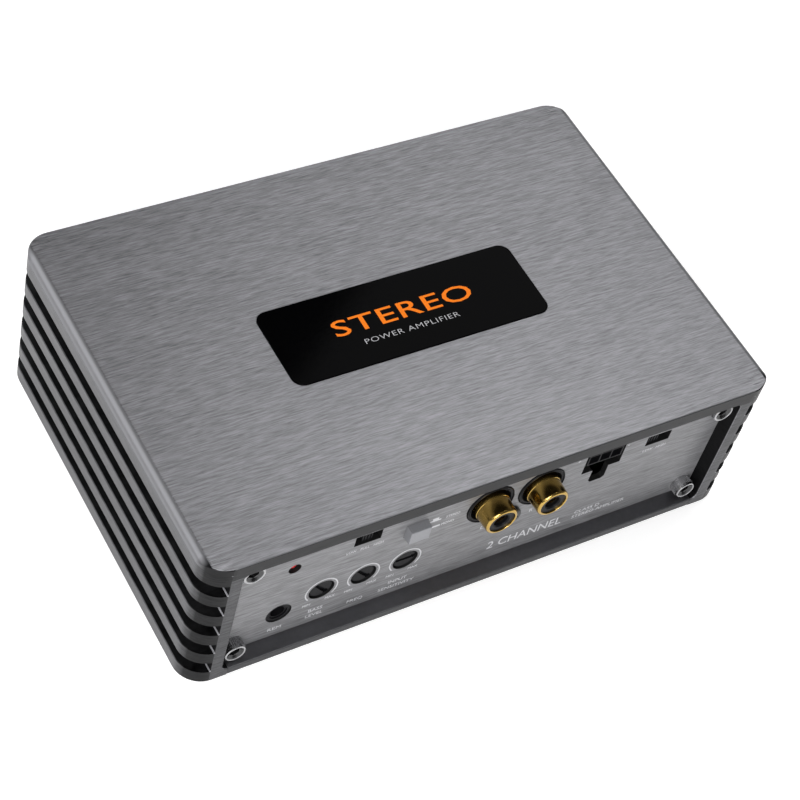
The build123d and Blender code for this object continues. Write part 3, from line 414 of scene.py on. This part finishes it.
FINISHES = {
    # The housing's greys by place are painted light and shade on one anodised metal
    "housing": housing_metal(
        top=0.212, rounded_highlight=0.25, side_shade=0.113, strip_shade=0.029, post_shade=0.080, corner=0.016, highlight_grey=0.45
    ),
    "bottom_sheet": bottom_metal(inside=0.19, front=0.06),
    "panel": brushed_panel((0.160, 0.160, 0.167), 0.46),
    "nameplate": plastic("gloss black plate", (0.0008, 0.0008, 0.001), 0.06, specular=0.012),
    "steel_screw": screw_steel((0.42, 0.42, 0.43), 0.24),
    "black_screw": plastic("black zinc", (0.012, 0.012, 0.013), 0.3),
    "black_plastic": plastic("black moulding", (0.006, 0.006, 0.007), 0.4, specular=0.12),
    "button_grey": plastic("grey button", (0.215, 0.218, 0.232), 0.45),
    "lamp": lamp_red((0.42, 0.004, 0.006), (0.02, 0.001, 0.002)),
    "gold": plain_metal("gold plating", (0.50, 0.33, 0.09), 0.18),
    "plated_steel": plain_metal("nickel plating", (0.6, 0.6, 0.6), 0.25),
    "brass_post": plain_metal("brass", (0.6, 0.45, 0.18), 0.3),
    "circuit_board": solder_mask((0.01, 0.09, 0.035)),
    "pad_rubber": plastic("grey silicone", (0.3, 0.31, 0.33), 0.7),
    "capacitor_sleeve": plastic("shrink sleeve", (0.012, 0.014, 0.03), 0.3),
    "copper_winding": copper_winding((0.6, 0.24, 0.09)),
    "fuse_amber": plastic("amber fuse", (0.75, 0.33, 0.01), 0.25, coat=0.4),
    "white_ink": plastic("white ink", (0.50, 0.50, 0.52), 0.6),
    "orange_ink": plastic("orange ink", (0.90, 0.20, 0.006), 0.5, specular=0.1),
}
SLOT_OF = {part["node"]: part["material_slot"] for part in frame["record"]["subparts"]}

for node, piece in frame["nodes"].items():
    piece.data.materials.clear()
    piece.data.materials.append(FINISHES[SLOT_OF[node]])


# Making pieces


def add_piece(name, mesh, slot, *replaced):
    """New visible piece with its finish, riding a body and standing for the CAD nodes given."""
    piece = bpy.data.objects.new(name, mesh)
    bpy.context.scene.collection.objects.link(piece)
    mesh.materials.clear()
    mesh.materials.append(FINISHES[slot])
    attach(piece, BODY)
    if replaced:
        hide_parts(*replaced)
    return piece


def mesh_of(shape, name):
    """Finished mesh from a bmesh, with doubles merged and faces outwards."""
    bmesh.ops.remove_doubles(shape, verts=shape.verts, dist=0.001 * MM)
    bmesh.ops.recalc_face_normals(shape, faces=shape.faces)
    mesh = bpy.data.meshes.new(name)
    shape.to_mesh(mesh)
    shape.free()
    return mesh


def sharp_by_angle(mesh, degrees):
    """Smooth shading with sharp edges where faces meet steeply."""
    shape = bmesh.new()
    shape.from_mesh(mesh)
    for edge in shape.edges:
        if len(edge.link_faces) == 2:
            edge.smooth = edge.calc_face_angle(0) < math.radians(degrees)
    for face in shape.faces:
        face.smooth = True
    shape.to_mesh(mesh)
    shape.free()


def bridge(shape, here, there):
    """Closed band of faces between two rings of as many points."""
    for n in range(len(here)):
        after = (n + 1) % len(here)
        shape.faces.new((here[n], here[after], there[after], there[n]))


def turned(profile, sides):
    """Closed ring turned about Y from (radius, y) corners given in order."""
    shape = bmesh.new()
    sections = []
    for n in range(sides):
        angle = 2 * math.pi * n / sides
        across, up = math.cos(angle), math.sin(angle)
        sections.append([shape.verts.new((r * across, y, r * up)) for r, y in profile])
    for n in range(sides):
        bridge(shape, sections[n], sections[(n + 1) % sides])
    return shape


def arc_points(centre_r, centre_y, radius, start, end, steps):
    """Points of an arc in (radius, y), angles in degrees from outwards, towards -Y."""
    points = []
    for n in range(steps + 1):
        angle = math.radians(start + (end - start) * n / steps)
        points.append((centre_r + radius * math.cos(angle), centre_y - radius * math.sin(angle)))
    return points


# Geometry Nodes


class Tree:
    """A geometry node tree with named inputs."""

    def __init__(self, name):
        self.tree = bpy.data.node_groups.new(name, "GeometryNodeTree")
        self.inlet = self.add("NodeGroupInput")
        self.outlet = self.add("NodeGroupOutput")
        self.values = {}
        self.tree.interface.new_socket("Geometry", in_out="INPUT", socket_type="NodeSocketGeometry")
        self.tree.interface.new_socket("Geometry", in_out="OUTPUT", socket_type="NodeSocketGeometry")

    def add(self, kind, **settings):
        node = self.tree.nodes.new(kind)
        for key, value in settings.items():
            setattr(node, key, value)
        return node

    def input(self, name, value, kind="NodeSocketFloat"):
        """Adds a named input and remembers its value for the modifier."""
        socket = self.tree.interface.new_socket(name, in_out="INPUT", socket_type=kind)
        self.values[socket.identifier] = value
        return self.inlet.outputs[name]

    def join(self, source, target):
        self.tree.links.new(source, target)

    def moved(self, geometry, rotation=(0, 0, 0), place=(0, 0, 0)):
        """Geometry turned and then moved."""
        node = self.add("GeometryNodeTransform")
        node.inputs["Rotation"].default_value = rotation
        node.inputs["Translation"].default_value = place
        self.join(geometry, node.inputs["Geometry"])
        return node.outputs["Geometry"]

    def copies(self, points, instance):
        """A copy of the instance at each point."""
        node = self.add("GeometryNodeInstanceOnPoints")
        self.join(points, node.inputs["Points"])
        self.join(instance, node.inputs["Instance"])
        return node.outputs["Instances"]

    def finish(self, geometry, material):
        """Ends the tree in Realize Instances and Set Material."""
        realize = self.add("GeometryNodeRealizeInstances")
        paint = self.add("GeometryNodeSetMaterial")
        paint.inputs["Material"].default_value = material
        self.join(geometry, realize.inputs["Geometry"])
        self.join(realize.outputs["Geometry"], paint.inputs["Geometry"])
        self.join(paint.outputs["Geometry"], self.outlet.inputs[0])

    def run(self, mesh, name):
        """Evaluates the tree on a mesh and returns the plain result."""
        carrier = bpy.data.objects.new(name, mesh)
        bpy.context.scene.collection.objects.link(carrier)
        modifier = carrier.modifiers.new("nodes", "NODES")
        modifier.node_group = self.tree
        for identifier, value in self.values.items():
            modifier[identifier] = value
        evaluated = carrier.evaluated_get(bpy.context.evaluated_depsgraph_get())
        result = bpy.data.meshes.new_from_object(evaluated)
        bpy.data.objects.remove(carrier)
        result.name = name
        return result


# Turns a shape made flat in X and Y to stand in X and Z
STANDING = (math.pi / 2, 0, 0)


# Panel screws: socket cap heads with a knurled side, a bright rim and a hexagonal socket
HEAD_H = 3.0 * MM
HEAD_SIDES = 48
SOCKET_R = 1.45 * MM
SOCKET_DEPTH = 1.5 * MM
SOCKET_POINT = 0.4 * MM
DISH = 0.6 * MM
RIB_R = 0.11 * MM
KNURL_TEETH = 36
KNURL_LENGTH = 2.3 * MM


def knurled_ribs(t, outward):
    """Ring of fine ribs round the side of a head."""
    count = t.input("Teeth", KNURL_TEETH, "NodeSocketInt")
    radius = t.input("Rib circle", HEAD_R)
    ring = t.add("GeometryNodeMeshCircle")
    t.join(count, ring.inputs["Vertices"])
    t.join(radius, ring.inputs["Radius"])
    rib = t.add("GeometryNodeMeshCylinder", fill_type="TRIANGLE_FAN")
    rib.inputs["Vertices"].default_value = 4
    rib.inputs["Radius"].default_value = RIB_R
    rib.inputs["Depth"].default_value = KNURL_LENGTH
    ribs = t.copies(ring.outputs["Mesh"], rib.outputs["Mesh"])
    return t.moved(ribs, STANDING, (0, outward * KNURL_LENGTH / 2, 0))


def rectangle_corners(t, spacing, centre):
    """The four corners of a rectangle in X and Z."""
    spacing_x = t.input("Spacing X", spacing[0])
    spacing_z = t.input("Spacing Z", spacing[1])
    corners = t.add("GeometryNodeMeshGrid")
    corners.inputs["Vertices X"].default_value = 2
    corners.inputs["Vertices Y"].default_value = 2
    t.join(spacing_x, corners.inputs["Size X"])
    t.join(spacing_z, corners.inputs["Size Y"])
    return t.moved(corners.outputs["Mesh"], STANDING, centre)


def knurled_heads(name, core, spacing, centre, outward):
    """Four copies of a screw head with knurled ribs, at the corners of a rectangle."""
    t = Tree(name)
    head = t.add("GeometryNodeJoinGeometry")
    t.join(t.inlet.outputs["Geometry"], head.inputs["Geometry"])
    t.join(knurled_ribs(t, outward), head.inputs["Geometry"])
    screws = t.copies(rectangle_corners(t, spacing, centre), head.outputs["Geometry"])
    t.finish(screws, FINISHES["steel_screw"])
    return t.run(core, name)


def hexagon_radius(angle):
    """Distance from the axis to the wall of the hexagonal socket."""
    within = (angle + math.pi / 6) % (math.pi / 3) - math.pi / 6
    return SOCKET_R * math.cos(math.pi / 6) / math.cos(within)


def cap_head(outward):
    """Head about the Y axis from y = 0 outwards, with a dished face and a conical socket floor."""
    angles = [2 * math.pi * n / HEAD_SIDES for n in range(HEAD_SIDES)]
    hexagon = [hexagon_radius(angle) for angle in angles]
    rims = [(HEAD_R - 0.12 * MM, 0), (HEAD_R, 0.12 * MM), (HEAD_R, HEAD_H - 0.4 * MM),
            (HEAD_R - 0.06 * MM, HEAD_H - 0.16 * MM), (HEAD_R - 0.22 * MM, HEAD_H - 0.03 * MM),
            (HEAD_R - 0.36 * MM, HEAD_H), (HEAD_R - 0.5 * MM, HEAD_H - 0.04 * MM),
            (1.12 * SOCKET_R, HEAD_H - DISH)]
    levels = [([r] * HEAD_SIDES, y) for r, y in rims]
    levels += [(hexagon, HEAD_H - DISH - 0.15 * MM), (hexagon, HEAD_H - SOCKET_DEPTH)]
    shape = bmesh.new()
    rings = []
    for radii, y in levels:
        places = [(r * math.cos(a), outward * y, r * math.sin(a)) for r, a in zip(radii, angles)]
        rings.append([shape.verts.new(place) for place in places])
    for here, there in zip(rings, rings[1:]):
        bridge(shape, here, there)
    floor = rings[-1]
    tip = shape.verts.new((0, outward * (HEAD_H - SOCKET_DEPTH - SOCKET_POINT), 0))
    for n in range(HEAD_SIDES):
        shape.faces.new((floor[n], floor[(n + 1) % HEAD_SIDES], tip))
    shape.faces.new(rings[0])
    return mesh_of(shape, "cap head")


def panel_screws(name, node, face_y, outward):
    """The four knurled cap screws of an end panel."""
    low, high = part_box(node)
    spacing = (high.x - low.x - 2 * HEAD_REACH, high.z - low.z - 2 * HEAD_REACH)
    centre = (0, face_y, (low.z + high.z) / 2)
    mesh = knurled_heads(name, cap_head(outward), spacing, centre, outward)
    sharp_by_angle(mesh, 30)
    add_piece(name, mesh, "steel_screw", node)


panel_screws("front_knurled_screws", "front_panel_screws", PANEL_Y, -1)
panel_screws("rear_knurled_screws", "rear_panel_screws", REAR_Y, 1)


# Phono jacks: rolled gold barrels with a shoulder at the face of the black collar
COLLAR_FACE_Y = PANEL_Y - 0.1 * MM
BARREL_R = 4.15 * MM
BARREL_BORE_R = 3.35 * MM
BARREL_FACE_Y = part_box("rca_left_barrel")[0].y
BARREL_END_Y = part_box("rca_left_barrel")[1].y
FLANGE_R = 4.65 * MM
FLANGE_FRONT_Y = PANEL_Y + 0.4 * MM
FLANGE_BACK_Y = PANEL_Y + 1.6 * MM
LIP_OUTER_R = 0.62 * MM
LIP_INNER_R = 0.18 * MM
SHOULDER_R = BARREL_R + 0.2 * MM
SHOULDER_STEP = 0.12 * MM
SHOULDER_TOP_Y = COLLAR_FACE_Y - 1.0 * MM


def gold_barrel(name, node):
    """Barrel that narrows towards its rolled mouth, with a shoulder and a flange at the panel."""
    place = middle(node)
    mouth = arc_points(BARREL_BORE_R + LIP_INNER_R, BARREL_FACE_Y + LIP_INNER_R, LIP_INNER_R, 180, 90, 4)
    mouth += arc_points(BARREL_R - LIP_OUTER_R, BARREL_FACE_Y + LIP_OUTER_R, LIP_OUTER_R, 90, 0, 8)
    body = [
        (SHOULDER_R, SHOULDER_TOP_Y - 0.1 * MM),
        (SHOULDER_R + SHOULDER_STEP, SHOULDER_TOP_Y),
        (FLANGE_R - 0.15 * MM, COLLAR_FACE_Y),
        (FLANGE_R, FLANGE_FRONT_Y),
        (FLANGE_R, FLANGE_BACK_Y),
        (BARREL_R, FLANGE_BACK_Y),
        (BARREL_R, BARREL_END_Y),
        (BARREL_BORE_R, BARREL_END_Y),
    ]
    mesh = mesh_of(turned(mouth + body, 96), name)
    mesh.transform(Matrix.Translation((place.x, 0, place.z)))
    sharp_by_angle(mesh, 40)
    add_piece(name, mesh, "gold", node)


gold_barrel("rolled_barrel_left", "rca_left_barrel")
gold_barrel("rolled_barrel_right", "rca_right_barrel")


# Black collar round each barrel: two raised rings with a groove between them, each given as its
# outer radius, its inner radius and its height
COLLAR_RINGS = ((6.2 * MM, 5.95 * MM, 0.25 * MM), (5.62 * MM, 5.3 * MM, 0.15 * MM))
COLLAR_EDGE = 0.08 * MM


def collar_ring(outer, inner, height):
    """One raised ring about the Y axis, with its edges broken."""
    face_y = COLLAR_FACE_Y - height
    profile = [(outer, PANEL_Y), (outer, face_y + COLLAR_EDGE), (outer - COLLAR_EDGE, face_y),
               (inner + COLLAR_EDGE, face_y), (inner, face_y + COLLAR_EDGE), (inner, PANEL_Y)]
    return mesh_of(turned(profile, 72), "ring")


def collar_rings():
    """The raised rings of both collars, as one mesh."""
    shape = bmesh.new()
    for node in ("rca_left_barrel", "rca_right_barrel"):
        place = middle(node)
        for outer, inner, height in COLLAR_RINGS:
            mesh = collar_ring(outer, inner, height)
            mesh.transform(Matrix.Translation((place.x, 0, place.z)))
            shape.from_mesh(mesh)
            bpy.data.meshes.remove(mesh)
    mesh = mesh_of(shape, "collar_rings")
    sharp_by_angle(mesh, 40)
    return mesh


add_piece("collar_rings", collar_rings(), "black_plastic")


def coil_spring():
    """The CAD spring as one merged mesh, on a piece with a mesh of its own."""
    shape = bmesh.new()
    shape.from_mesh(frame["nodes"]["mode_button_spring"].data)
    mesh = mesh_of(shape, "coil_spring")
    sharp_by_angle(mesh, 40)
    piece = add_piece("coil_spring", mesh, "plated_steel", "mode_button_spring")
    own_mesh(piece)


coil_spring()


# Dial arcs round the trimmers: one arc for each, drawn by a node tree
DIAL_R = 4.05 * MM
DIAL_STROKE = 0.34 * MM
INK_T = 0.03 * MM
DIAL_SWEEP = math.radians(262)
POTS = ("bass", "frequency", "level")


def dial_arc(t):
    """One flat arc of ink, open at the bottom."""
    radius = t.input("Radius", DIAL_R)
    sweep = t.input("Sweep", DIAL_SWEEP)
    stroke = t.input("Stroke", DIAL_STROKE)
    arc = t.add("GeometryNodeCurveArc")
    arc.inputs["Resolution"].default_value = 72
    arc.inputs["Start Angle"].default_value = math.pi / 2 - DIAL_SWEEP / 2
    t.join(radius, arc.inputs["Radius"])
    t.join(sweep, arc.inputs["Sweep Angle"])
    section = t.add("GeometryNodeCurvePrimitiveQuadrilateral")
    t.join(stroke, section.inputs["Width"])
    section.inputs["Height"].default_value = INK_T
    solid = t.add("GeometryNodeCurveToMesh")
    solid.inputs["Fill Caps"].default_value = True
    t.join(arc.outputs["Curve"], solid.inputs["Curve"])
    t.join(section.outputs["Curve"], solid.inputs["Profile Curve"])
    return t.moved(solid.outputs["Mesh"], STANDING)


def dial_arcs():
    """The arcs of all the trimmers, standing just proud of the panel."""
    t = Tree("dial arcs")
    arcs = t.copies(t.inlet.outputs["Geometry"], dial_arc(t))
    t.finish(arcs, FINISHES["white_ink"])
    centres = [middle(f"{pot}_pot_rotor") for pot in POTS]
    points = bpy.data.meshes.new("dial places")
    points.from_pydata([(c.x, PANEL_Y - INK_T / 2, c.z) for c in centres], [], [])
    return t.run(points, "dial arcs")


add_piece("dial_arcs", dial_arcs(), "white_ink")


# Lettering: all generic words, flat ink on the panel and the nameplate

# Share of a letter's size that its capitals are high
CAPITAL_SHARE = 0.7
PANEL_TURN = Matrix.Rotation(math.pi / 2, 4, "X")


def word_mesh(text, height, depth, stretch, spacing=1.0, bold=0.0):
    """Text with capitals of that height as a mesh, centred in X and standing on Y = 0."""
    curve = bpy.data.curves.new(text, "FONT")
    curve.body = text
    curve.align_x = "CENTER"
    curve.align_y = "BOTTOM_BASELINE"
    curve.size = height / CAPITAL_SHARE
    curve.space_character = spacing
    curve.offset = bold
    curve.extrude = depth / 2
    curve.resolution_u = 3
    carrier = bpy.data.objects.new(text, curve)
    bpy.context.scene.collection.objects.link(carrier)
    evaluated = carrier.evaluated_get(bpy.context.evaluated_depsgraph_get())
    mesh = bpy.data.meshes.new_from_object(evaluated)
    bpy.data.objects.remove(carrier)
    mesh.transform(Matrix.Diagonal((stretch, 1, 1, 1)))
    return mesh


def panel_words(name, words):
    """Words on the front panel as one piece: each is (text, x, z of its foot, height, width share)."""
    shape = bmesh.new()
    for text, x, z, height, stretch in words:
        mesh = word_mesh(text, height * MM, INK_T, stretch)
        mesh.transform(Matrix.Translation((x * MM, PANEL_Y - INK_T / 2, z * MM)) @ PANEL_TURN)
        shape.from_mesh(mesh)
        bpy.data.meshes.remove(mesh)
    add_piece(name, mesh_of(shape, name), "white_ink")


# What the labels belong to, and their capital heights and feet, in millimetres
BASS, FREQUENCY, LEVEL = [middle(f"{pot}_pot_rotor") / MM for pot in POTS]
REMOTE = middle("remote_jack") / MM
FILTER = middle("filter_switch_body") / MM
BUTTON = middle("mode_button") / MM
LEFT_JACK = middle("rca_left_barrel") / MM
RIGHT_JACK = middle("rca_right_barrel") / MM
CONNECTOR = middle("input_connector") / MM
INPUT = middle("input_switch_body") / MM
SMALL, LABEL, LARGE = 0.85, 1.15, 2.9
TRIMMER_FOOT, SECOND_FOOT = 7.0, 4.9
FILTER_FOOT = 26.9
JACK_FOOT = 17.4
POLE_FOOT = 31.8

panel_words("range_labels", [
    (text, pot.x + dx, z, SMALL, 1.0)
    for pot in (BASS, FREQUENCY, LEVEL)
    for text, dx, z in (("MIN", -3.1, 10.2), ("MAX", 2.9, 10.6))
])
panel_words("control_labels", [
    ("REM", REMOTE.x - 0.1, SECOND_FOOT, LABEL, 1.2),
    ("BASS", BASS.x - 0.2, TRIMMER_FOOT, LABEL, 1.1),
    ("LEVEL", BASS.x - 0.2, SECOND_FOOT, LABEL, 1.1),
    ("FREQ", FREQUENCY.x - 0.4, SECOND_FOOT, LABEL, 1.1),
    ("INPUT", LEVEL.x - 0.4, TRIMMER_FOOT, LABEL, 1.1),
    ("SENSITIVITY", LEVEL.x - 0.4, SECOND_FOOT, LABEL, 1.1),
])
panel_words("switch_labels", [
    ("LOW", FILTER.x - 3.7, FILTER_FOOT, SMALL, 0.9),
    ("FULL", FILTER.x - 0.2, FILTER_FOOT, SMALL, 0.9),
    ("HIGH", FILTER.x + 3.3, FILTER_FOOT, SMALL, 0.9),
    ("STEREO", BUTTON.x + 9.75, BUTTON.z + 0.15, SMALL, 0.9),
    ("MONO", BUTTON.x + 8.85, BUTTON.z - 2.35, SMALL, 0.9),
    ("LOW   HIGH", INPUT.x, 26.6, SMALL, 1.0),
    ("+", CONNECTOR.x - 7.8, POLE_FOOT, LABEL, 1.1),
    ("-", CONNECTOR.x + 6.3, POLE_FOOT, LABEL, 1.1),
])
panel_words("input_labels", [
    ("L", LEFT_JACK.x, JACK_FOOT, LABEL, 1.1),
    ("R", RIGHT_JACK.x - 0.35, JACK_FOOT, LABEL, 1.1),
    ("CLASS D", 33.5, 8.6, LABEL, 1.2),
    ("STEREO AMPLIFIER", 37.3, 6.8, LABEL, 1.15),
])
panel_words("channel_count", [("2 CHANNEL", 15.7, 6.7, LARGE, 0.95)])


def button_marks():
    """Out and in marks beside the mode button: a raised step and a flat bar."""
    raised = [(-1.5, 0), (1.5, 0), (1.5, 0.45), (0.8, 0.45),
              (0.8, 1.2), (-0.8, 1.2), (-0.8, 0.45), (-1.5, 0.45)]
    flat = [(-1.5, 0), (1.5, 0), (1.5, 0.55), (-1.5, 0.55)]
    shape = bmesh.new()
    for outline, dx, dz in ((raised, 5.05, 0.25), (flat, 5.25, -2.25)):
        places = [((BUTTON.x + dx + x) * MM, (BUTTON.z + dz + z) * MM) for x, z in outline]
        front = [shape.verts.new((x, PANEL_Y - INK_T, z)) for x, z in places]
        back = [shape.verts.new((x, PANEL_Y, z)) for x, z in places]
        shape.faces.new(front)
        shape.faces.new(back[::-1])
        bridge(shape, front, back)
    return mesh_of(shape, "button marks")


add_piece("button_marks", button_marks(), "white_ink")


def plate_word(name, text, height, slot, place, stretch, bold, spacing):
    """Word let into the face of the nameplate, proud of it by a few thousandths of a millimetre."""
    depth = 0.02 * MM
    proud = 0.004 * MM
    mesh = word_mesh(text, height * MM, depth, stretch, spacing, bold)
    x, y = place
    mesh.transform(Matrix.Translation((x * MM, y * MM, PLATE_TOP - depth / 2 + proud)))
    add_piece(name, mesh, slot)


plate_word(
    "nameplate_word", "STEREO", 4.6, "orange_ink", (-0.1, -1.4), stretch=1.6, bold=0.03 * MM, spacing=1.05
)
plate_word(
    "nameplate_line", "POWER AMPLIFIER", 1.45, "white_ink", (-0.6, -5.4),
    stretch=1.38, bold=-0.03 * MM, spacing=1.1
)


# Floor, light and camera: strengths of the floor's glow and the room, and what the softboxes face
FLOOR_GREY = 0.95
FLOOR_GLOW = 0.36
ROOM_LIGHT = 0.12
LIGHT_AIM = Vector((0, 0, 0.03))


def studio():
    """Pale floor and an even room."""
    bpy.ops.mesh.primitive_plane_add(size=6.0, location=(0, 0, 0))
    floor = bpy.context.object
    floor.name = "floor"
    f = Finish("pale floor")
    f.shader.inputs["Base Color"].default_value = (FLOOR_GREY, FLOOR_GREY, FLOOR_GREY, 1)
    f.shader.inputs["Roughness"].default_value = 0.95
    f.shader.inputs["Emission Color"].default_value = (1, 1, 1, 1)
    f.shader.inputs["Emission Strength"].default_value = FLOOR_GLOW
    floor.data.materials.append(f.material)
    world = bpy.data.worlds.new("studio")
    world.use_nodes = True
    world.node_tree.nodes["Background"].inputs["Color"].default_value = (1, 1, 1, 1)
    world.node_tree.nodes["Background"].inputs["Strength"].default_value = ROOM_LIGHT
    bpy.context.scene.world = world
    bpy.context.scene.view_settings.view_transform = "Standard"


def softbox(name, azimuth, elevation, size, power):
    """Square softbox a metre from the origin: azimuth from +X towards +Y, elevation above the floor."""
    data = bpy.data.lights.new(name, "AREA")
    data.shape = "SQUARE"
    data.size = size
    data.energy = power
    turn, rise = math.radians(azimuth), math.radians(elevation)
    place = Vector((math.cos(rise) * math.cos(turn), math.cos(rise) * math.sin(turn), math.sin(rise)))
    lamp = bpy.data.objects.new(name, data)
    lamp.location = place
    lamp.rotation_euler = (LIGHT_AIM - place).to_track_quat("-Z", "Y").to_euler()
    bpy.context.scene.collection.objects.link(lamp)


# Camera: its place in millimetres, the direction it looks in and the direction to its right
CAMERA_PLACE = (-224.48, -252.43, 411.88)
CAMERA_AIM = (0.43683, 0.47695, -0.76269)
CAMERA_RIGHT = (0.85742, -0.47719, 0.19268)
LENS_MM = 96.6
SENSOR_MM = 36.0


def camera():
    """Camera with its roll given by the direction to its right."""
    data = bpy.data.cameras.new("camera")
    data.sensor_width = SENSOR_MM
    data.lens = LENS_MM
    data.clip_start = 0.01
    eye = bpy.data.objects.new("camera", data)
    right = Vector(CAMERA_RIGHT).normalized()
    back = -Vector(CAMERA_AIM).normalized()
    up = back.cross(right)
    turn = Matrix((right, up, back)).transposed().to_4x4()
    eye.matrix_world = Matrix.Translation(Vector(CAMERA_PLACE) * MM) @ turn
    bpy.context.scene.collection.objects.link(eye)
    bpy.context.scene.camera = eye


studio()
softbox("front left", 240, 32, 0.5, 9.2)
softbox("left", 180, 32, 0.5, 1.6)
softbox("left back", 136, 36, 0.8, 3.6)
softbox("back", 60, 8, 0.35, 4.9)
softbox("right above", 30, 58, 0.5, 2.6)
camera()
